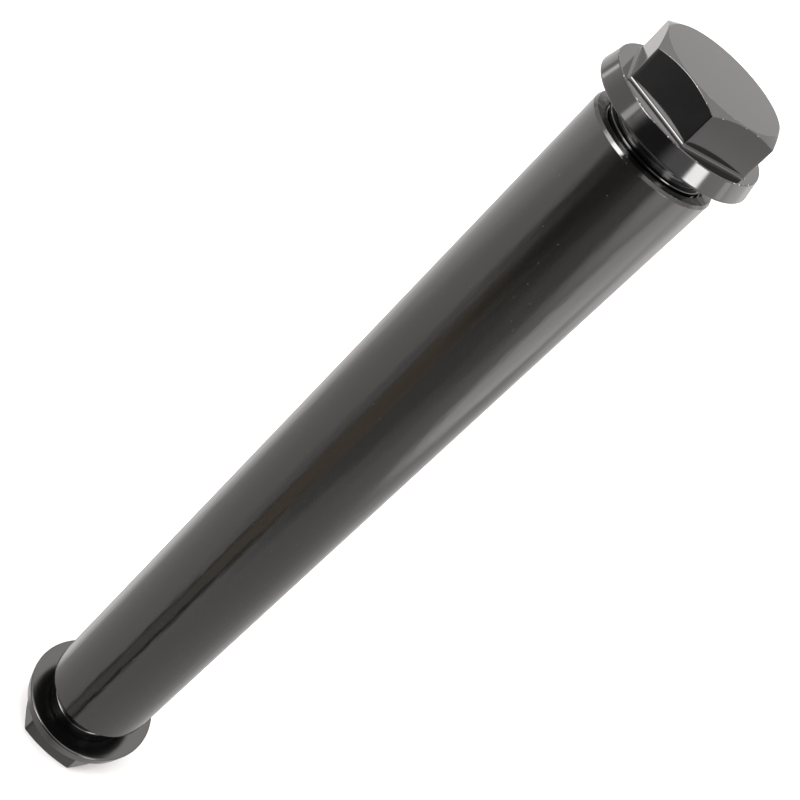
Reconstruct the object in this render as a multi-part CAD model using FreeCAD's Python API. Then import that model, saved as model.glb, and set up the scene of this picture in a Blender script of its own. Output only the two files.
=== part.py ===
"""Bolt-on through axle of a bicycle fork: a plain tube with a flanged hex bolt in each end.

The axle stands upright on the lower bolt's head. The origin is the middle of that head's
end face, and +Z runs up the axle. All sizes are millimetres and degrees.
"""
import FreeCAD
import Part

import math
import os

# Tube
tube_diameter = 20.0
tube_length = 148.4
tube_end_chamfer = 0.4

# Thread that joins the bolts to the tube, drawn as plain cylinders at its major diameter
thread_wall = 2.0            # metal left outside the thread
thread_pitch = 1.0
thread_clearance = 0.05      # radial, bolt to tapped bore
tap_overrun = 2.0            # tapped depth beyond the tip of a bolt that is screwed home
mouth_chamfer = 0.45         # lead-in at the mouth of each tapped bore

# Bolt head
hex_across_flats = 18.7
hex_height = 5.9
hex_corner_round = 0.25
hex_chamfer_angle = 30.0
end_face_inset = 0.17        # end face's circle inside the flats, where the chamfer starts
hex_root_fillet = 0.4        # between the hex and its flange

# Bolt flange
flange_ledge = 1.0           # flange beyond the hex corners, on the hex's side
flange_thickness = 2.9
flange_taper_angle = 13.5    # slope of its side, which is wider at the seat
flange_edge_round = 0.2

# Bolt shank
shank_length = 18.0          # from the flange's underside to the tip
relief_width = 2.4           # groove between the flange and the thread
relief_depth = 0.7
relief_round = 0.35

# How the bolts stand in the tube
upper_gap = 3.3              # tube end to flange, as the bolts are backed out
lower_gap = 4.1
upper_hex_angle = 11.0       # one flat's normal, from +X about +Z
lower_hex_angle = 33.0

# Sizes worked out from those above
thread_diameter = tube_diameter - 2 * thread_wall
bore_diameter = thread_diameter - thread_pitch
tapped_diameter = thread_diameter + 2 * thread_clearance
tapped_depth = shank_length + tap_overrun
hex_across_corners = hex_across_flats / math.cos(math.radians(30))
end_face_diameter = hex_across_flats - 2 * end_face_inset
flange_taper = flange_thickness * math.tan(math.radians(flange_taper_angle))
flange_top_diameter = hex_across_corners + 2 * flange_ledge
flange_diameter = flange_top_diameter + 2 * flange_taper
relief_diameter = thread_diameter - 2 * relief_depth
head_height = flange_thickness + hex_height
lower_seat_height = head_height
tube_bottom = lower_seat_height + lower_gap
tube_top = tube_bottom + tube_length
upper_seat_height = tube_top + upper_gap

UP = FreeCAD.Vector(0, 0, 1)
ORIGIN = FreeCAD.Vector(0, 0, 0)
FLAT_STEP = 60.0             # degrees from one flat of a hex to the next


def limited(round_radius, wall):
    """Keep a round within its wall."""
    return min(round_radius, 0.45 * wall)


def rounded_corner(before, corner, after, radius):
    """Start, middle and end of the arc that rounds a corner, tangent to both its sides."""
    to_before = (before - corner).normalize()
    to_after = (after - corner).normalize()
    half_angle = to_before.getAngle(to_after) / 2
    start = corner + to_before * (radius / math.tan(half_angle))
    end = corner + to_after * (radius / math.tan(half_angle))
    middle_way = (to_before + to_after).normalize()
    middle = corner + middle_way * (radius / math.sin(half_angle) - radius)
    return start, middle, end


def turned(outline):
    """Turn a closed outline of (radius, height, corner round) about the Z axis."""
    corners = [FreeCAD.Vector(radius, 0, height) for radius, height, _ in outline]
    edges = []
    spans = []
    for index, (_, _, corner_round) in enumerate(outline):
        corner = corners[index]
        if corner_round > 0:
            following = corners[(index + 1) % len(corners)]
            start, middle, end = rounded_corner(corners[index - 1], corner, following, corner_round)
            edges.append(Part.Arc(start, middle, end).toShape())
            spans.append((start, end))
        else:
            spans.append((corner, corner))
    for index, (_, leave) in enumerate(spans):
        arrive = spans[(index + 1) % len(spans)][0]
        edges.append(Part.LineSegment(leave, arrive).toShape())
    wire = Part.Wire(Part.__sortEdges__(edges))
    return Part.Face(wire).revolve(ORIGIN, UP, 360)


def make_tube():
    """Tube with a plain bore, tapped at both ends and chamfered inside and out."""
    outer = tube_diameter / 2
    bore = bore_diameter / 2
    tapped = tapped_diameter / 2
    run_out = tapped - bore
    half_outline = [
        (bore, tapped_depth + run_out),
        (tapped, tapped_depth),
        (tapped, mouth_chamfer),
        (tapped + mouth_chamfer, 0),
        (outer - tube_end_chamfer, 0),
        (outer, tube_end_chamfer),
    ]
    lower_half = [(radius, tube_bottom + depth, 0) for radius, depth in half_outline]
    upper_half = [(radius, tube_top - depth, 0) for radius, depth in reversed(half_outline)]
    return turned(lower_half + upper_half)


def make_hex_head():
    """Hexagonal head above its flange, with a cone that cuts its corners at the end face."""
    corner_radius = hex_across_corners / 2
    corners = []
    for step in range(6):
        angle = math.radians(step * FLAT_STEP + FLAT_STEP / 2)
        corners.append(FreeCAD.Vector(math.cos(angle), math.sin(angle), 0) * corner_radius)
    corners.append(corners[0])
    base = Part.Face(Part.makePolygon(corners))
    prism = base.extrude(UP * head_height)
    upright = [edge for edge in prism.Edges if edge.Vertexes[0].Z != edge.Vertexes[1].Z]
    prism = prism.makeFillet(hex_corner_round, upright)

    end_radius = end_face_diameter / 2
    cone_drop = (corner_radius - end_radius) * math.tan(math.radians(hex_chamfer_angle))
    cone = turned([
        (0, 0, 0),
        (corner_radius, 0, 0),
        (corner_radius, head_height - cone_drop, 0),
        (end_radius, head_height, 0),
        (0, head_height, 0),
    ])
    return prism.common(cone)


def make_shank_and_flange():
    """Flange, relief groove and threaded shank, turned as one, with the flange's seat at z = 0."""
    top_rim = flange_top_diameter / 2
    rim = flange_diameter / 2
    rim_round = limited(flange_edge_round, flange_thickness)
    groove = relief_diameter / 2
    groove_round = limited(relief_round, relief_width)
    thread = thread_diameter / 2
    lead = thread_pitch
    return turned([
        (0, flange_thickness, 0),
        (top_rim, flange_thickness, rim_round),
        (rim, 0, rim_round),
        (groove, 0, groove_round),
        (groove, -relief_width, 0),
        (thread, -relief_width - relief_depth, 0),
        (thread, lead - shank_length, 0),
        (thread - lead, -shank_length, 0),
        (0, -shank_length, 0),
    ])


def make_bolt():
    """One-piece bolt, head up, with the flange's seat at z = 0."""
    bolt = make_shank_and_flange().fuse(make_hex_head()).removeSplitter()
    corner_radius = hex_across_corners / 2
    root = []
    for edge in bolt.Edges:
        on_flange = abs(edge.BoundBox.ZMin - flange_thickness) < 1e-6 and edge.BoundBox.ZLength < 1e-6
        inside_corners = edge.BoundBox.DiagonalLength < 1.5 * corner_radius
        if on_flange and inside_corners:
            root.append(edge)
    return bolt.makeFillet(limited(hex_root_fillet, flange_ledge), root)


def make_upper_bolt():
    """Bolt in the tube's upper end, head up."""
    bolt = make_bolt()
    bolt.rotate(ORIGIN, UP, upper_hex_angle)
    bolt.translate(UP * upper_seat_height)
    return bolt


def make_lower_bolt():
    """Bolt in the tube's lower end, head down, on which the axle stands."""
    bolt = make_bolt()
    bolt.rotate(ORIGIN, FreeCAD.Vector(1, 0, 0), 180)
    bolt.rotate(ORIGIN, UP, lower_hex_angle)
    bolt.translate(UP * lower_seat_height)
    return bolt


def main():
    """Build each piece and write it to its own file."""
    os.makedirs("parts", exist_ok=True)
    pieces = {
        "axle_tube": make_tube(),
        "upper_bolt": make_upper_bolt(),
        "lower_bolt": make_lower_bolt(),
    }
    for name, shape in pieces.items():
        shape.exportStep(f"parts/{name}.step")
        box = shape.BoundBox
        print(f"{name}: {len(shape.Solids)} solid, valid {shape.isValid()}, volume {shape.Volume:.1f}, "
              f"z {box.ZMin:.3f} to {box.ZMax:.3f}, x {box.XMin:.3f} to {box.XMax:.3f}")


main()
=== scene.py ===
"""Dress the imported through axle: turned tube, flanged hex bolts, threads, finishes and studio.

The frame says where the tube and the bolts are. Lengths here are millimetres, and become metres
only where a mesh, a light or the camera is made. The axle stands along +Z.
"""

import logging
import math
from dataclasses import dataclass
from enum import Enum
from typing import Callable, NamedTuple, Sequence

import bmesh
import bpy
from mathutils import Matrix, Vector


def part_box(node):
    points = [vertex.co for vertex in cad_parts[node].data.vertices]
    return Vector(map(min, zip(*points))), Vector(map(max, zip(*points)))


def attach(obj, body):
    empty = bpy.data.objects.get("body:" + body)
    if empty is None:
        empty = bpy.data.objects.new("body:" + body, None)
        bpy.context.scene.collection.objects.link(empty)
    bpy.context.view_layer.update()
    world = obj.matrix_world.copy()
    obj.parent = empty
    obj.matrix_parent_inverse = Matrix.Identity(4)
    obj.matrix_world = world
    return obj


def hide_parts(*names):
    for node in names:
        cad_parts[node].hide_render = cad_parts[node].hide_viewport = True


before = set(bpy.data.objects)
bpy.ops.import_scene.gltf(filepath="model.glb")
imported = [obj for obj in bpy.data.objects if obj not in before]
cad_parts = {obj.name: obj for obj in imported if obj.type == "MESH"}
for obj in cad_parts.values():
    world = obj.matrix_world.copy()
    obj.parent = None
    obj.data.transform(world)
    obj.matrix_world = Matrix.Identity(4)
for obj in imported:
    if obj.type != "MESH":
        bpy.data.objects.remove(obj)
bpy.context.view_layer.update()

MM = 0.001                     # metres in a millimetre
WEAR = "wear"                  # point attribute: 1 on a rounded outer edge, 0 elsewhere
DULL = "dull"                  # point attribute: 1 on a face that is left as turned, 0 elsewhere
HEX_SIDES = 6
SIXTH = math.pi / 3            # angle of one side of a hex, in radians
LOG = logging.getLogger("through_axle")


class Node(str, Enum):
    """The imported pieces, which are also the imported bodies."""

    TUBE = "axle_tube"
    UPPER_BOLT = "upper_bolt"
    LOWER_BOLT = "lower_bolt"


class Facing(Enum):
    """Which way a bolt's head points."""

    UP = 1
    DOWN = -1


class Ridge(Enum):
    """Which way a thread's ridge stands: out of a shank, or into a bore."""

    OUTWARD = 1
    INWARD = -1


class Corner(NamedTuple):
    """One corner of a turned outline, with the radius that rounds it and the face it starts."""

    radius: float
    height: float
    rounding: float = 0.0
    worn: bool = False
    dull_after: bool = False


class Station(NamedTuple):
    """One point of a finished outline, and how worn and how dull it is."""

    radius: float
    height: float
    wear: float = 0.0
    dull: float = 0.0


# Turned meshes

ARC_STEPS = 6                    # segments in each rounded corner
RUN_SHARES = (0.25, 0.5, 0.75)   # points along each straight run of an outline
EDGE_MARGIN = 0.03               # from each end of a run to its first and last points


def round_corner(before: Corner, corner: Corner, after: Corner) -> list[Station]:
    """Round one corner with an arc that is tangent to both its sides.

    Args:
        before: The corner that comes before it in the outline.
        corner: The corner to round.
        after: The corner that follows it.

    Returns:
        The arc's stations, or the corner itself where it has no rounding.
    """
    wear = float(corner.worn)
    dull = float(corner.dull_after and not corner.worn)
    if corner.rounding <= 0:
        return [Station(corner.radius, corner.height, wear, dull)]
    tip = Vector((corner.radius, corner.height))
    back = (Vector((before.radius, before.height)) - tip).normalized()
    ahead = (Vector((after.radius, after.height)) - tip).normalized()
    half = back.angle(ahead) / 2
    centre = tip + (back + ahead).normalized() * (corner.rounding / math.sin(half))
    start = tip + back * (corner.rounding / math.tan(half)) - centre
    end = tip + ahead * (corner.rounding / math.tan(half)) - centre
    sweep = start.angle_signed(end)
    stations = []
    for step in range(ARC_STEPS + 1):
        share = step / ARC_STEPS
        spoke = start @ Matrix.Rotation(sweep * share, 2)
        edge = wear * math.sin(math.pi * share)
        stations.append(Station(centre.x + spoke.x, centre.y + spoke.y, edge, dull))
    return stations


def finish_outline(corners: Sequence[Corner], closed: bool) -> list[Station]:
    """Round an outline's corners and divide its straight runs.

    Args:
        corners: The outline's corners in order.
        closed: Whether the last corner joins the first, as in a tube's wall.

    Returns:
        The stations from the first corner to the last.
    """
    count = len(corners)
    arcs = [
        round_corner(corners[index - 1], corner, corners[(index + 1) % count])
        for index, corner in enumerate(corners)
    ]
    stations: list[Station] = []
    for index, arc in enumerate(arcs):
        stations.extend(arc)
        if index == count - 1 and not closed:
            break
        leave = arc[-1]
        arrive = arcs[(index + 1) % count][0]
        length = math.hypot(arrive.radius - leave.radius, arrive.height - leave.height)
        margin = min(EDGE_MARGIN / max(length, EDGE_MARGIN), RUN_SHARES[0] / 2)
        for share in (margin, *RUN_SHARES, 1 - margin):
            stations.append(Station(
                leave.radius + (arrive.radius - leave.radius) * share,
                leave.height + (arrive.height - leave.height) * share,
                dull=float(corners[index].dull_after),
            ))
    return stations


def even_angles(count: int) -> list[float]:
    """Return that many angles, evenly spaced round a full turn, in radians."""
    return [2 * math.pi * step / count for step in range(count)]


def turned_mesh(
    name: str,
    angles: Sequence[float],
    outline_at: Callable[[float], list[Station]],
    place: Matrix,
    closed: bool,
) -> bpy.types.Mesh:
    """Turn an outline about the Z axis; it may differ from one angle to the next.

    Args:
        name: The mesh's name.
        angles: The angles round the axis, in radians.
        outline_at: Gives the outline at an angle, always with the same number of stations.
        place: Where the turned shape goes, in millimetres.
        closed: Whether the outline is a loop; otherwise it starts and ends on the axis.

    Returns:
        The mesh in metres, with outward faces and the two finish attributes.
    """
    mesh = bmesh.new()
    wear_layer = mesh.verts.layers.float.new(WEAR)
    dull_layer = mesh.verts.layers.float.new(DULL)
    poles: dict[int, bmesh.types.BMVert] = {}
    rings: list[list[bmesh.types.BMVert]] = []
    for angle in angles:
        ring = []
        outline = outline_at(angle)
        for index, station in enumerate(outline):
            on_axis = not closed and index in (0, len(outline) - 1)
            if on_axis and index in poles:
                ring.append(poles[index])
                continue
            spot = Vector((
                station.radius * math.cos(angle),
                station.radius * math.sin(angle),
                station.height,
            ))
            vertex = mesh.verts.new((place @ spot) * MM)
            vertex[wear_layer] = station.wear
            vertex[dull_layer] = station.dull
            ring.append(vertex)
            if on_axis:
                poles[index] = vertex
        rings.append(ring)
    for ring, following in zip(rings, rings[1:] + rings[:1]):
        steps = range(len(ring)) if closed else range(len(ring) - 1)
        for step in steps:
            after = (step + 1) % len(ring)
            corners = [ring[step], following[step], following[after], ring[after]]
            mesh.faces.new(list(dict.fromkeys(corners))).smooth = True
    bmesh.ops.recalc_face_normals(mesh, faces=mesh.faces)
    result = bpy.data.meshes.new(name)
    mesh.to_mesh(result)
    mesh.free()
    return result


# Node trees


class Board:
    """Short calls that add nodes to a tree and join them."""

    def __init__(self, tree: bpy.types.NodeTree) -> None:
        """Keep the tree that the nodes go into."""
        self.tree = tree

    def add(
        self,
        kind: str,
        inputs: dict[str | int, object] | None = None,
        **settings: object,
    ) -> bpy.types.Node:
        """Add a node.

        Args:
            kind: The node's type name.
            inputs: Input name or number to a socket to join or a value to set.
            settings: The node's own properties.

        Returns:
            The new node.
        """
        node = self.tree.nodes.new(kind)
        for key, value in settings.items():
            setattr(node, key, value)
        for key, value in (inputs or {}).items():
            if isinstance(value, bpy.types.NodeSocket):
                self.tree.links.new(value, node.inputs[key])
            else:
                node.inputs[key].default_value = value
        return node

    def math(self, operation: str, first: object, second: object = 0.0) -> bpy.types.NodeSocket:
        """Add a Math node on two sockets or numbers and return its result."""
        node = self.add("ShaderNodeMath", {0: first, 1: second}, operation=operation)
        return node.outputs[0]

    def ramp(
        self,
        value: object,
        low: float,
        high: float,
        to: tuple[float, float] = (0.0, 1.0),
        smooth: bool = True,
    ) -> bpy.types.NodeSocket:
        """Map a value from low..high to another range, clamped.

        Args:
            value: The socket or number to map.
            low: Where the range starts.
            high: Where it ends.
            to: What the ends become.
            smooth: Whether the step is eased at both ends.

        Returns:
            The mapped value's socket.
        """
        kind = "SMOOTHSTEP" if smooth else "LINEAR"
        node = self.add(
            "ShaderNodeMapRange",
            {"Value": value, "From Min": low, "From Max": high, "To Min": to[0], "To Max": to[1]},
            interpolation_type=kind,
            clamp=True,
        )
        return node.outputs["Result"]

    def noise(
        self,
        place: bpy.types.NodeSocket,
        size: float,
        detail: float,
        roughness: float,
    ) -> bpy.types.NodeSocket:
        """Add a noise pattern.

        Args:
            place: The coordinates that it follows.
            size: Size of its largest lumps.
            detail: How many finer layers it has.
            roughness: How strong each finer layer is, beside the one before it.

        Returns:
            The pattern's value, from 0 to 1.
        """
        node = self.add("ShaderNodeTexNoise", {
            "Vector": place,
            "Scale": 1 / (size * MM),
            "Detail": detail,
            "Roughness": roughness,
        })
        return node.outputs[0]

    def blend(self, share: object, first: object, second: object) -> bpy.types.NodeSocket:
        """Mix two numbers or value sockets by a share and return the result."""
        node = self.add("ShaderNodeMix", {0: share, 2: first, 3: second}, data_type="FLOAT")
        return node.outputs[0]

    def blend_colour(self, share: object, first: object, second: object) -> bpy.types.NodeSocket:
        """Mix two colours or colour sockets by a share and return the result."""
        node = self.add("ShaderNodeMix", {0: share, 6: first, 7: second}, data_type="RGBA")
        return node.outputs[2]


# Threads


class ThreadTree:
    """The Geometry Nodes tree that winds one ridge of a screw thread along a helix."""

    FLOATS = ("Turns", "Pitch", "Radius", "Depth", "Foot Width", "Crest Width", "Crest Round",
              "Lean", "Start Angle", "Start Height")
    CREST_STEPS = 4                # points in each round of the ridge's section

    def __init__(self) -> None:
        """Build the tree once; every thread shares it."""
        self.tree = bpy.data.node_groups.new("thread_ridge", "GeometryNodeTree")
        self.identifiers: dict[str, str] = {}
        for name in self.FLOATS:
            self._socket(name, "NodeSocketFloat")
        self._socket("Steps", "NodeSocketInt")
        self._socket("Finish", "NodeSocketMaterial")
        self.tree.interface.new_socket("Geometry", in_out="OUTPUT", socket_type="NodeSocketGeometry")
        self._wire()

    def _socket(self, name: str, kind: str) -> None:
        """Add a named input and remember its identifier."""
        socket = self.tree.interface.new_socket(name, in_out="INPUT", socket_type=kind)
        self.identifiers[name] = socket.identifier

    def _wire(self) -> None:
        """Join the helix, the ridge's section and the finish."""
        board = Board(self.tree)
        given = board.add("NodeGroupInput").outputs
        rise = board.math("MULTIPLY", given["Turns"], given["Pitch"])
        helix = board.add("GeometryNodeCurveSpiral", {
            "Resolution": given["Steps"],
            "Rotations": given["Turns"],
            "Start Radius": given["Radius"],
            "End Radius": given["Radius"],
            "Height": rise,
        })
        upright = board.add("GeometryNodeSetCurveNormal", {"Curve": helix.outputs[0]}, mode="Z_UP")

        section = board.add("GeometryNodeCurvePrimitiveQuadrilateral", {
            "Bottom Width": given["Foot Width"],
            "Top Width": given["Crest Width"],
            "Offset": 0.0,
            "Height": given["Depth"],
        }, mode="TRAPEZOID")
        eased = board.add("GeometryNodeFilletCurve", {
            "Curve": section.outputs[0],
            "Count": self.CREST_STEPS,
            "Radius": given["Crest Round"],
        }, mode="POLY")
        half_depth = board.math("DIVIDE", given["Depth"], 2.0)
        lift = board.add("ShaderNodeCombineXYZ", {"Y": half_depth})
        seated = board.add("GeometryNodeTransform",
                           {"Geometry": eased.outputs[0], "Translation": lift.outputs[0]})
        lean = board.add("ShaderNodeCombineXYZ", {"Z": given["Lean"]})
        standing = board.add("GeometryNodeTransform",
                             {"Geometry": seated.outputs[0], "Rotation": lean.outputs[0]})
        swept = board.add("GeometryNodeCurveToMesh", {
            "Curve": upright.outputs[0],
            "Profile Curve": standing.outputs[0],
            "Fill Caps": True,
        })
        turn = board.add("ShaderNodeCombineXYZ", {"Z": given["Start Angle"]})
        height = board.add("ShaderNodeCombineXYZ", {"Z": given["Start Height"]})
        placed = board.add("GeometryNodeTransform", {
            "Geometry": swept.outputs[0],
            "Translation": height.outputs[0],
            "Rotation": turn.outputs[0],
        })
        smooth = board.add("GeometryNodeSetShadeSmooth", {"Geometry": placed.outputs[0]})
        real = board.add("GeometryNodeRealizeInstances", {"Geometry": smooth.outputs[0]})
        finished = board.add("GeometryNodeSetMaterial",
                             {"Geometry": real.outputs[0], "Material": given["Finish"]})
        board.add("NodeGroupOutput", {"Geometry": finished.outputs[0]})


@dataclass(frozen=True)
class Thread:
    """Sizes of one screw thread's ridge, which is blunt at both ends; its start is the lower one."""

    pitch: float
    root_radius: float
    crest_radius: float
    turns: float
    start_height: float
    start_angle: float             # in radians
    steps: int = 120               # in each turn
    crest_share: float = 0.5       # crest's width in pitches
    foot_share: float = 0.95       # foot's width in pitches
    sunk: float = 0.06             # how far the foot is set into its carrier
    crest_round: float = 0.2

    @property
    def ridge(self) -> Ridge:
        """Whether the ridge stands out of a shank or into a bore."""
        return Ridge.OUTWARD if self.crest_radius > self.root_radius else Ridge.INWARD

    def build(self, name: str, tree: ThreadTree, finish: bpy.types.Material) -> bpy.types.Mesh:
        """Wind the ridge.

        Args:
            name: The mesh's name.
            tree: The shared thread tree.
            finish: The material that the ridge takes.

        Returns:
            The ridge as a plain mesh, in metres.
        """
        way = self.ridge.value
        depth = way * (self.crest_radius - self.root_radius) + self.sunk
        sizes = {
            "Turns": self.turns,
            "Pitch": self.pitch * MM,
            "Radius": (self.root_radius - way * self.sunk) * MM,
            "Depth": depth * MM,
            "Foot Width": self.foot_share * self.pitch * MM,
            "Crest Width": self.crest_share * self.pitch * MM,
            "Crest Round": self.crest_round * MM,
            "Lean": way * math.radians(90),
            "Start Angle": self.start_angle,
            "Start Height": self.start_height * MM,
            "Steps": self.steps,
            "Finish": finish,
        }
        carrier = bpy.data.objects.new(name, bpy.data.meshes.new(name + "_carrier"))
        bpy.context.scene.collection.objects.link(carrier)
        modifier = carrier.modifiers.new("thread", "NODES")
        modifier.node_group = tree.tree
        for label, value in sizes.items():
            modifier[tree.identifiers[label]] = value
        graph = bpy.context.evaluated_depsgraph_get()
        mesh = bpy.data.meshes.new_from_object(carrier.evaluated_get(graph))
        carrier.modifiers.remove(modifier)
        bpy.data.objects.remove(carrier)
        work = bmesh.new()
        work.from_mesh(mesh)
        bmesh.ops.recalc_face_normals(work, faces=work.faces)
        work.to_mesh(mesh)
        work.free()
        mesh.name = name
        return mesh


# Finishes


@dataclass(frozen=True)
class AnodisedBlack:
    """Black anodised aluminium: a dyed oxide skin that mirrors more or less sharply."""

    name: str
    slot: str
    colour: tuple[float, float, float]
    gloss: tuple[float, float]          # roughness where it is smoothest and dullest
    patch_size: float                   # size of the dull and smooth patches
    grain_size: float
    grain_stretch: float                # how much longer the grain is along the axle
    grain_height: float
    speck_size: float
    speck_share: float                  # share of the cells that have a pinhole
    speck_strength: float               # how bare a pinhole is, from 0 to 1
    nick_colour: tuple[float, float, float, float] = (0.42, 0.41, 0.40, 1.0)
    oxide_ior: float = 1.77
    dull_roughness: float = 0.19
    dull_colour: tuple[float, float, float, float] = (0.0014, 0.0014, 0.0014, 1.0)
    nick_size: float = 0.6

    PATCH_STEP = (0.3, 0.7)             # noise from the smoothest patches to the dullest
    NICK_STEP = (0.56, 0.66)            # noise from whole edges to knocked ones
    SPECK_CELL = 5.0                    # size of a pinhole's cell, in pinholes
    SPECK_EDGE = (0.06, 0.11)           # where a pinhole's edge lies, in cells

    def material(self) -> bpy.types.Material:
        """Build the finish on Object coordinates and the two finish attributes.

        Returns:
            The new material.
        """
        material = bpy.data.materials.new(self.name)
        material.use_nodes = True
        material.node_tree.nodes.clear()
        board = Board(material.node_tree)
        place = board.add("ShaderNodeTexCoord").outputs["Object"]

        patches = board.noise(place, self.patch_size, detail=3.0, roughness=0.6)
        polished = board.ramp(patches, *self.PATCH_STEP, to=self.gloss)
        dull = board.add("ShaderNodeAttribute", attribute_name=DULL).outputs["Fac"]
        roughness = board.blend(dull, polished, self.dull_roughness)

        stretch = (1.0, 1.0, 1 / self.grain_stretch)
        drawn = board.add("ShaderNodeMapping", {0: place, "Scale": stretch}).outputs[0]
        grain = board.noise(drawn, self.grain_size, detail=2.5, roughness=0.55)
        bump = board.add("ShaderNodeBump", {
            "Strength": 1.0,
            "Distance": self.grain_height * MM,
            "Height": grain,
        })

        bare = board.math("MAXIMUM", self._specks(board, place), self._nicks(board, place))
        dyed = board.blend_colour(dull, (*self.colour, 1.0), self.dull_colour)
        tint = board.blend_colour(bare, dyed, self.nick_colour)

        skin = board.add("ShaderNodeBsdfPrincipled", {
            "Base Color": tint,
            "Roughness": roughness,
            "IOR": self.oxide_ior,
            "Normal": bump.outputs[0],
        })
        board.add("ShaderNodeOutputMaterial", {"Surface": skin.outputs[0]})
        return material

    def _specks(self, board: Board, place: bpy.types.NodeSocket) -> bpy.types.NodeSocket:
        """Scatter sparse pinholes in the oxide.

        Args:
            board: The material's node board.
            place: The coordinates that they follow.

        Returns:
            Their mask, from 0 to 1.
        """
        cell = self.SPECK_CELL * self.speck_size * MM
        cells = board.add("ShaderNodeTexVoronoi", {"Vector": place, "Scale": 1 / cell})
        lot = board.add("ShaderNodeSeparateColor", {0: cells.outputs["Color"]}).outputs[0]
        chosen = board.math("LESS_THAN", lot, self.speck_share)
        dot = board.ramp(cells.outputs["Distance"], *self.SPECK_EDGE, to=(1.0, 0.0))
        shown = board.math("MULTIPLY", dot, chosen)
        return board.math("MULTIPLY", shown, self.speck_strength)

    def _nicks(self, board: Board, place: bpy.types.NodeSocket) -> bpy.types.NodeSocket:
        """Scatter small knocks along the outer edges.

        Args:
            board: The material's node board.
            place: The coordinates that they follow.

        Returns:
            Their mask, from 0 to 1.
        """
        edge = board.add("ShaderNodeAttribute", attribute_name=WEAR).outputs["Fac"]
        spots = board.noise(place, self.nick_size, detail=4.0, roughness=0.7)
        knocked = board.ramp(spots, *self.NICK_STEP)
        return board.math("MULTIPLY", edge, knocked)


TUBE_FINISH = AnodisedBlack(
    name="satin_black_tube",
    slot="tube_black",
    colour=(0.0038, 0.0035, 0.0032),
    gloss=(0.07, 0.12),
    patch_size=9.0,
    grain_size=1.2,
    grain_stretch=6.0,
    grain_height=0.03,
    speck_size=0.2,
    speck_share=0.16,
    speck_strength=0.1,
    dull_roughness=0.2,
    dull_colour=(0.004, 0.004, 0.0038, 1.0),
)

BOLT_FINISH = AnodisedBlack(
    name="glossy_black_bolt",
    slot="bolt_black",
    colour=(0.0014, 0.0014, 0.0014),
    gloss=(0.06, 0.12),
    patch_size=2.6,
    grain_size=0.3,
    grain_stretch=1.0,
    grain_height=0.0003,
    speck_size=0.12,
    speck_share=0.006,
    speck_strength=1.0,
)


# Pieces


def add_piece(
    mesh: bpy.types.Mesh,
    name: str,
    body: Node,
    material: bpy.types.Material,
) -> bpy.types.Object:
    """Show a finished mesh as a piece that rides on its body.

    Args:
        mesh: The mesh, already in place.
        name: The piece's name.
        body: The body that carries it.
        material: That finish's material.

    Returns:
        The new piece.
    """
    mesh.materials.clear()
    mesh.materials.append(material)
    piece = bpy.data.objects.new(name, mesh)
    bpy.context.scene.collection.objects.link(piece)
    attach(piece, body.value)
    LOG.info("%s: %d faces on %s", name, len(mesh.polygons), body.value)
    return piece


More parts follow.
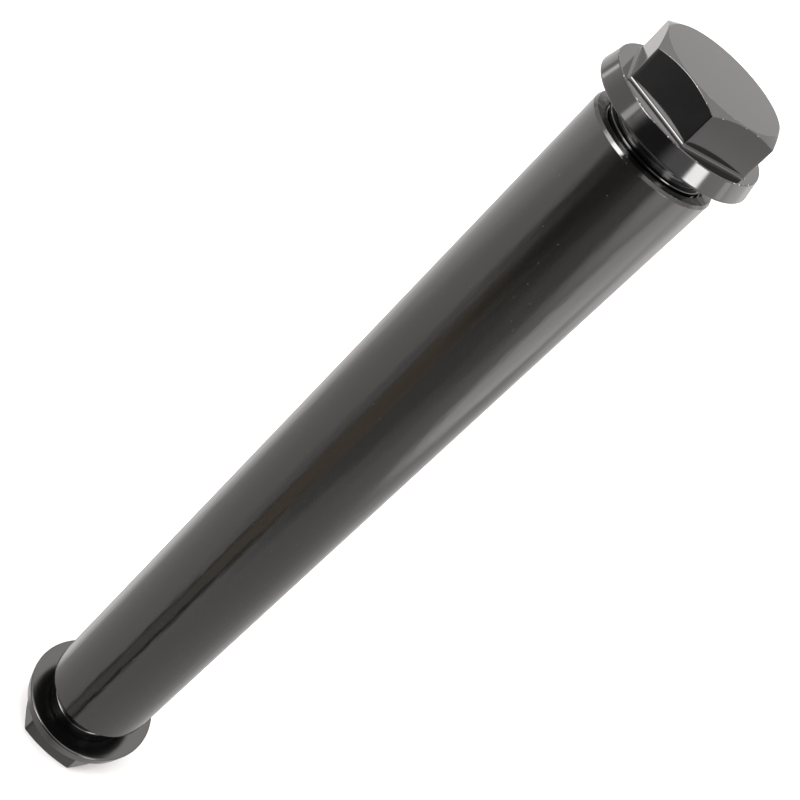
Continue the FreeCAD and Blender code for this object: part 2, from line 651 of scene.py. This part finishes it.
@dataclass
class FlangedBolt:
    """A one-piece bolt: chamfered hex, flange, relief groove and threaded shank.

    Its own frame has the flange's seat at z = 0 and the head upwards.
    """

    node: Node
    facing: Facing
    hex_angle: float               # one flat's normal, from +X, in degrees
    thread_angle: float            # where the thread's lower end starts, in degrees
    hex_across_flats: float = 18.7
    hex_height: float = 5.9
    hex_corner_round: float = 0.25
    hex_chamfer_angle: float = 30.0
    end_face_inset: float = 0.17
    end_face_round: float = 0.1
    chamfer_round: float = 0.14
    hex_root_fillet: float = 0.4
    flange_thickness: float = 2.9
    flange_taper_angle: float = 13.5
    flange_edge_round: float = 0.2
    seat_edge_round: float = 0.3
    shank_length: float = 18.0
    tip_round: float = 0.1
    relief_width: float = 2.0
    relief_depth: float = 0.7
    relief_round: float = 0.35
    thread_diameter: float = 16.0
    thread_pitch: float = 1.0
    thread_depth: float = 0.6
    thread_start: float = 1.5      # first crest's distance from the tip
    thread_end: float = 2.5        # last crest's distance from the seat
    inside_box: float = 0.003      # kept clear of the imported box
    corner_steps: int = 8
    flat_steps: int = 28

    def __post_init__(self) -> None:
        """Take the bolt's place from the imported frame."""
        low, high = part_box(self.node.value)
        head = self.head_height * MM
        self.seat_height = (high[2] - head if self.facing is Facing.UP else low[2] + head) / MM
        widest = (high[0] - low[0]) / 2 / MM - self.inside_box
        slope = math.radians(self.flange_taper_angle)
        half_corner = (math.pi / 2 - slope) / 2
        self.rim_radius = widest + self.seat_edge_round * (1 / math.tan(half_corner) - 1)
        self.top_rim_radius = self.rim_radius - self.flange_thickness * math.tan(slope)
        flip = Matrix.Identity(4) if self.facing is Facing.UP else Matrix.Rotation(math.pi, 4, "X")
        turn = Matrix.Rotation(math.radians(self.hex_angle), 4, "Z")
        self.place = Matrix.Translation((0, 0, self.seat_height)) @ turn @ flip

    @property
    def head_height(self) -> float:
        """Height of the end face above the flange's seat."""
        return self.flange_thickness + self.hex_height

    @property
    def corner_centre(self) -> float:
        """Distance from the axis to the middle of a corner's round."""
        return (self.hex_across_flats / 2 - self.hex_corner_round) / math.cos(SIXTH / 2)

    def hex_radius(self, angle: float) -> float:
        """Distance from the axis to the hex's side.

        Args:
            angle: Angle from a flat's normal, in radians.

        Returns:
            The distance at that angle.
        """
        from_corner = (angle % SIXTH) - SIXTH / 2
        centre = self.corner_centre
        reach = self.hex_corner_round * math.sin(SIXTH / 2)
        corner_half = math.atan2(reach, centre + self.hex_corner_round * math.cos(SIXTH / 2))
        if abs(from_corner) <= corner_half:
            rest = self.hex_corner_round ** 2 - (centre * math.sin(from_corner)) ** 2
            return centre * math.cos(from_corner) + math.sqrt(rest)
        return self.hex_across_flats / 2 / math.cos(SIXTH / 2 - abs(from_corner))

    def hex_angles(self) -> list[float]:
        """Choose the angles at which the head is turned.

        Returns:
            The angles all round, in radians, close together at the six rounded corners.
        """
        centre = self.corner_centre
        offsets = []
        for step in range(self.corner_steps + 1):
            spoke = SIXTH * (step / self.corner_steps - 0.5)
            offsets.append(math.atan2(self.hex_corner_round * math.sin(spoke),
                                      centre + self.hex_corner_round * math.cos(spoke)))
        flat_start = offsets[-1]
        flat_width = SIXTH - 2 * flat_start
        for step in range(1, self.flat_steps):
            offsets.append(flat_start + flat_width * step / self.flat_steps)
        return [SIXTH * side + SIXTH / 2 + offset for side in range(HEX_SIDES) for offset in offsets]

    def outline(self, angle: float) -> list[Station]:
        """The bolt's outline at one angle, from the end face's middle to the shank's tip.

        Args:
            angle: Angle from a flat's normal, in radians.

        Returns:
            The outline's stations.
        """
        top = self.head_height
        end_radius = self.hex_across_flats / 2 - self.end_face_inset
        side = self.hex_radius(angle)
        drop = (side - end_radius) * math.tan(math.radians(self.hex_chamfer_angle))
        ledge = self.flange_thickness
        thread_root = self.thread_diameter / 2 - self.thread_depth
        groove = self.thread_diameter / 2 - self.relief_depth
        tip_lead = self.thread_pitch
        corners = [
            Corner(0, top),
            Corner(end_radius, top, self.end_face_round, True),
            Corner(side, top - drop, self.chamfer_round, True),
            Corner(side, ledge, self.hex_root_fillet),
            Corner(self.top_rim_radius, ledge, self.flange_edge_round, True),
            Corner(self.rim_radius, 0, self.seat_edge_round, dull_after=True),
            Corner(groove, 0, self.relief_round, dull_after=True),
            Corner(groove, -self.relief_width),
            Corner(thread_root, -self.relief_width - (thread_root - groove)),
            Corner(thread_root, tip_lead - self.shank_length, self.tip_round),
            Corner(thread_root - tip_lead / 2, -self.shank_length, self.tip_round),
            Corner(0, -self.shank_length),
        ]
        return finish_outline(corners, closed=False)

    def thread(self) -> Thread:
        """Size the ridge on the shank, which winds upwards whichever way the bolt faces.

        Returns:
            The bolt's thread.
        """
        length = self.shank_length - self.thread_start - self.thread_end
        low_end = self.thread_end
        if self.facing is Facing.UP:
            low_end = self.thread_start - self.shank_length
        return Thread(
            pitch=self.thread_pitch,
            root_radius=self.thread_diameter / 2 - self.thread_depth,
            crest_radius=self.thread_diameter / 2,
            turns=length / self.thread_pitch,
            start_height=self.seat_height + low_end,
            start_angle=math.radians(self.thread_angle),
        )

    def build_body(self, name: str) -> bpy.types.Mesh:
        """Turn the bolt's body as a mesh of that name."""
        return turned_mesh(name, self.hex_angles(), self.outline, self.place, closed=False)

    def dress(self, tree: ThreadTree, finish: AnodisedBlack, material: bpy.types.Material) -> None:
        """Put the bolt's body and its thread on the frame, in their finish.

        Args:
            tree: The shared thread tree.
            finish: Not used.
            material: That finish's material.
        """
        name = self.node.value
        body_name = name + "_body"
        piece = add_piece(self.build_body(body_name), body_name, self.node, material)
        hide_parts(name)
        thread_name = name + "_thread"
        ridge = self.thread().build(thread_name, tree, material)
        add_piece(ridge, thread_name, self.node, material)


@dataclass
class AxleTube:
    """The plain tube, chamfered at both ends and tapped for a bolt in each."""

    chamfer_width: float = 0.27
    chamfer_length: float = 0.48
    chamfer_round: float = 0.06
    mouth_radius: float = 8.5
    mouth_round: float = 0.03
    bore_radius: float = 7.5
    tapped_depth: float = 20.0
    run_out_round: float = 0.1     # where the tapped bore narrows to the plain one
    thread_crest: float = 8.06     # just clear of the bolt's thread
    thread_root: float = 8.42
    thread_pitch: float = 1.0
    mouth_lead: float = 0.45       # thread's distance from the tube's end
    sides: int = 240

    def __post_init__(self) -> None:
        """Take the tube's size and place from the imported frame."""
        low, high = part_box(Node.TUBE.value)
        self.radius = (high[0] - low[0]) / 2 / MM
        self.bottom = low[2] / MM
        self.top = high[2] / MM

    def outline(self, _angle: float) -> list[Station]:
        """The tube's wall in section.

        Args:
            _angle: Angle round the axis, which makes no difference.

        Returns:
            The wall's stations, all round its section.
        """
        run_out = self.thread_root - self.bore_radius
        half = [
            (self.bore_radius, self.tapped_depth + run_out, self.run_out_round, False),
            (self.thread_root, self.tapped_depth, self.run_out_round, False),
            (self.thread_root, self.mouth_radius - self.thread_root, 0.0, False),
            (self.mouth_radius, 0.0, self.mouth_round, True),
            (self.radius - self.chamfer_width, 0.0, self.chamfer_round, True),
            (self.radius, self.chamfer_length, self.chamfer_round, True),
        ]
        corners = []
        for end, inward, points in ((self.bottom, 1, half), (self.top, -1, half[::-1])):
            for (radius, depth, soft, worn), following in zip(points, points[1:] + points[:1]):
                end_face = depth == following[1] == 0
                corners.append(Corner(radius, end + inward * depth, soft, worn, dull_after=end_face))
        return finish_outline(corners, closed=True)

    def threads(self) -> list[Thread]:
        """Size the ridges in the two tapped ends.

        Returns:
            The lower end's thread and the upper end's.
        """
        length = self.tapped_depth - self.mouth_lead
        starts = (self.bottom + self.mouth_lead, self.top - self.tapped_depth)
        return [
            Thread(
                pitch=self.thread_pitch,
                root_radius=self.thread_root,
                crest_radius=self.thread_crest,
                turns=length / self.thread_pitch,
                start_height=start,
                start_angle=0.0,
            )
            for start in starts
        ]

    def build_wall(self, name: str) -> bpy.types.Mesh:
        """Turn the tube's wall as a mesh of that name."""
        angles = even_angles(self.sides)
        return turned_mesh(name, angles, self.outline, Matrix.Identity(4), closed=True)

    def dress(self, tree: ThreadTree, finish: AnodisedBlack, material: bpy.types.Material) -> None:
        """Put the tube's wall and its tapped threads on the frame, in their finish.

        Args:
            tree: The shared thread tree.
            finish: Not used.
            material: That finish's material.
        """
        wall_name = "axle_tube_wall"
        piece = add_piece(self.build_wall(wall_name), wall_name, Node.TUBE, material)
        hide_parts(Node.TUBE.value)
        for end, thread in zip(("lower", "upper"), self.threads()):
            name = f"axle_tube_{end}_thread"
            ridge = thread.build(name, tree, material)
            add_piece(ridge, name, Node.TUBE, material)


# Studio


@dataclass(frozen=True)
class SoftBox:
    """A soft oval patch of the studio's surroundings, brighter or darker than the rest.

    Angles are in degrees: azimuth from -Y towards +X, elevation above the horizon.
    """

    azimuth: float
    elevation: float
    half_width: float
    half_height: float
    softness: float                # share of its size over which it fades, inwards and outwards
    brightness: float
    tint: tuple[float, float, float] = (1.0, 0.98, 0.97)

    @property
    def colour(self) -> tuple[float, float, float, float]:
        """The patch's light, as a colour."""
        return (*(self.brightness * part for part in self.tint), 1.0)

    def cover(self, board: Board, way: bpy.types.NodeSocket) -> bpy.types.NodeSocket:
        """How much of the patch shows in a direction, from 0 to 1.

        Args:
            board: The world's node board.
            way: The direction's azimuth and elevation, in radians.

        Returns:
            The cover's socket.
        """
        scale = (1 / math.radians(self.half_width), 1 / math.radians(self.half_height), 0.0)
        shift = (-self.azimuth / self.half_width, -self.elevation / self.half_height, 0.0)
        offset = board.add("ShaderNodeVectorMath", {0: way, 1: scale, 2: shift},
                           operation="MULTIPLY_ADD")
        away = board.add("ShaderNodeVectorMath", {0: offset.outputs[0]}, operation="LENGTH")
        fade = (1 - self.softness, 1 + self.softness)
        return board.ramp(away.outputs["Value"], *fade, to=(1.0, 0.0))


@dataclass(frozen=True)
class StudioCamera:
    """The photograph's viewpoint, which looks down on the axle and is rolled to one side.

    Angles are in degrees.
    """

    distance: float = 171.54           # from the axle's axis
    above_tube: float = 62.04          # above the tube's upper end
    tilt_down: float = 34.33
    swing: float = -0.08
    roll: float = 45.63
    lens: float = 62.89
    sensor: float = 36.0
    nearest: float = 10.0              # nearest thing that shows

    def build(self, tube_top: float) -> None:
        """Add the camera and make it the scene's own.

        Args:
            tube_top: Height of the tube's upper end.
        """
        lens = bpy.data.cameras.new("studio_camera")
        lens.lens = self.lens
        lens.sensor_width = self.sensor
        lens.clip_start = self.nearest * MM
        camera = bpy.data.objects.new("studio_camera", lens)
        spot = Vector((0, -self.distance, tube_top + self.above_tube)) * MM
        swing = Matrix.Rotation(math.radians(self.swing), 4, "Z")
        tilt = Matrix.Rotation(math.radians(90 - self.tilt_down), 4, "X")
        roll = Matrix.Rotation(math.radians(self.roll), 4, "Z")
        camera.matrix_world = Matrix.Translation(spot) @ swing @ tilt @ roll
        bpy.context.scene.collection.objects.link(camera)
        bpy.context.scene.camera = camera


@dataclass(frozen=True)
class Studio:
    """Pale floor and white surroundings, dark at the front, with soft boxes on both sides."""

    floor_size: float = 9000.0
    floor_colour: tuple[float, float, float, float] = (0.9, 0.9, 0.9, 1.0)
    backdrop: tuple[float, float, float, float] = (1.0, 1.0, 1.0, 1.0)
    wall_tint: tuple[float, float, float] = (1.0, 0.965, 0.95)
    # Brightness of the surroundings at each elevation in degrees
    levels: tuple[tuple[float, float], ...] = (
        (-80.0, 0.4), (-62.0, 0.5), (-50.0, 0.74), (-33.0, 0.86), (-20.0, 1.0), (16.0, 1.0),
        (32.0, 1.4), (50.0, 2.0), (80.0, 2.2),
    )
    patches: tuple[SoftBox, ...] = (
        # The dark front, with paler and darker parts
        SoftBox(60.0, -58.0, 58.0, 24.0, 0.35, 0.63),
        SoftBox(2.0, -13.0, 48.0, 28.0, 0.16, 0.17),
        SoftBox(38.0, -23.0, 18.0, 14.0, 0.6, 0.42),
        SoftBox(15.0, -35.0, 14.0, 7.0, 0.6, 0.32),
        SoftBox(-30.0, -35.0, 10.0, 9.0, 0.6, 0.58),
        SoftBox(-10.75, -48.0, 15.25, 62.0, 0.15, 0.36, (1.0, 0.96, 0.92)),
        SoftBox(-12.0, -35.0, 13.0, 10.0, 0.5, 0.42, (1.0, 0.8, 0.6)),
        SoftBox(-22.0, -54.0, 2.4, 13.0, 0.4, 0.2),
        SoftBox(-1.8, -54.0, 2.8, 13.0, 0.4, 0.08),
        SoftBox(-12.0, -14.0, 17.0, 15.0, 0.3, 0.08),
        SoftBox(-6.0, 20.0, 25.0, 47.0, 0.25, 0.07),
        SoftBox(30.0, 8.0, 16.0, 10.0, 0.6, 0.75),
        # A dark gap low at the back, in two halves
        SoftBox(180.0, -52.0, 14.0, 18.0, 0.3, 0.02),
        SoftBox(-180.0, -52.0, 14.0, 18.0, 0.3, 0.02),
        # Soft boxes on the right
        SoftBox(130.0, -14.0, 22.0, 13.0, 0.4, 1.6),
        SoftBox(95.0, -27.0, 20.0, 9.0, 0.3, 1.95),
        SoftBox(60.0, -16.0, 15.0, 9.0, 0.5, 1.6),
        SoftBox(85.0, 2.0, 20.0, 9.0, 0.4, 1.5),
        SoftBox(118.0, 0.0, 13.0, 10.0, 0.5, 1.9),
        SoftBox(101.0, -2.0, 5.0, 9.0, 0.3, 2.4),
        SoftBox(57.0, 9.0, 10.5, 15.0, 0.25, 10.5),
        # Soft boxes on the left
        SoftBox(-136.0, -37.0, 17.0, 28.0, 0.5, 1.25),
        SoftBox(-115.0, -16.0, 38.0, 15.0, 0.4, 1.25),
        SoftBox(-126.0, 0.0, 5.0, 12.0, 0.4, 0.7),
        SoftBox(-116.0, -6.0, 3.2, 9.0, 0.4, 3.2),
        SoftBox(-42.0, 28.0, 13.0, 19.0, 0.2, 13.0),
        SoftBox(-50.0, 2.0, 4.5, 9.0, 0.4, 3.4),
        SoftBox(-62.0, 32.0, 11.0, 9.0, 0.7, 5.5),
    )

    def build_floor(self) -> None:
        """Add the floor, which goes with the bolt that the axle stands on and mirrors in nothing."""
        half = self.floor_size / 2 * MM
        mesh = bpy.data.meshes.new("floor")
        mesh.from_pydata([(-half, -half, 0), (half, -half, 0), (half, half, 0), (-half, half, 0)],
                         [], [(0, 1, 2, 3)])
        material = bpy.data.materials.new("pale_floor")
        material.use_nodes = True
        material.node_tree.nodes.clear()
        board = Board(material.node_tree)
        matt = board.add("ShaderNodeBsdfDiffuse", {"Color": self.floor_colour})
        board.add("ShaderNodeOutputMaterial", {"Surface": matt.outputs[0]})
        mesh.materials.append(material)
        floor = bpy.data.objects.new("floor", mesh)
        floor.visible_glossy = False
        bpy.context.scene.collection.objects.link(floor)
        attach(floor, Node.LOWER_BOLT.value)

    def build_surroundings(self) -> None:
        """Light the scene from a world of soft levels and patches."""
        world = bpy.data.worlds.new("studio")
        world.use_nodes = True
        world.node_tree.nodes.clear()
        board = Board(world.node_tree)
        way = board.add("ShaderNodeTexCoord").outputs["Generated"]
        parts = board.add("ShaderNodeSeparateXYZ", {0: way}).outputs
        azimuth = board.math("ARCTAN2", parts["X"], board.math("MULTIPLY", parts["Y"], -1.0))
        elevation = board.math("ARCSINE", parts["Z"])
        angles = board.add("ShaderNodeCombineXYZ", {"X": azimuth, "Y": elevation}).outputs[0]
        light = self._walls(board, elevation)
        for patch in self.patches:
            light = board.blend_colour(patch.cover(board, angles), light, patch.colour)
        seen = board.add("ShaderNodeLightPath").outputs["Is Camera Ray"]
        shown = board.blend_colour(seen, light, self.backdrop)
        glow = board.add("ShaderNodeBackground", {"Color": shown})
        board.add("ShaderNodeOutputWorld", {"Surface": glow.outputs[0]})
        bpy.context.scene.world = world

    def _walls(self, board: Board, elevation: bpy.types.NodeSocket) -> bpy.types.NodeSocket:
        """Grade the plain surroundings from below to above.

        Args:
            board: The world's node board.
            elevation: Elevation of the direction, in radians.

        Returns:
            Their light as a colour.
        """
        share = board.ramp(elevation, math.radians(-90), math.radians(90), smooth=False)
        walls = board.add("ShaderNodeValToRGB", {0: share})
        stops = walls.color_ramp.elements
        for index, (degrees, brightness) in enumerate(self.levels):
            place = (degrees + 90) / 180
            stop = stops[index] if index < 1 else stops.new(place)
            stop.position = place
            stop.color = (*(brightness * part for part in self.wall_tint), 1.0)
        stops.remove(stops[-1])
        return walls.outputs[0]

    def build(self) -> None:
        """Add the floor and the light, and show colours as they are."""
        self.build_floor()
        self.build_surroundings()
        bpy.context.scene.view_settings.view_transform = "Standard"


def main() -> None:
    """Build every piece, then the studio round them."""
    logging.basicConfig(level=logging.INFO, format="%(name)s %(message)s")
    tree = ThreadTree()
    tube_material = TUBE_FINISH.material()
    bolt_material = BOLT_FINISH.material()
    tube = AxleTube()
    tube.dress(tree, TUBE_FINISH, tube_material)
    bolts = (
        FlangedBolt(Node.UPPER_BOLT, Facing.UP, hex_angle=11.0, thread_angle=47.0),
        FlangedBolt(Node.LOWER_BOLT, Facing.DOWN, hex_angle=33.0, thread_angle=0.0),
    )
    for bolt in bolts:
        bolt.dress(tree, BOLT_FINISH, bolt_material)
    Studio().build()
    StudioCamera().build(tube.top)


if __name__ == "__main__":
    main()
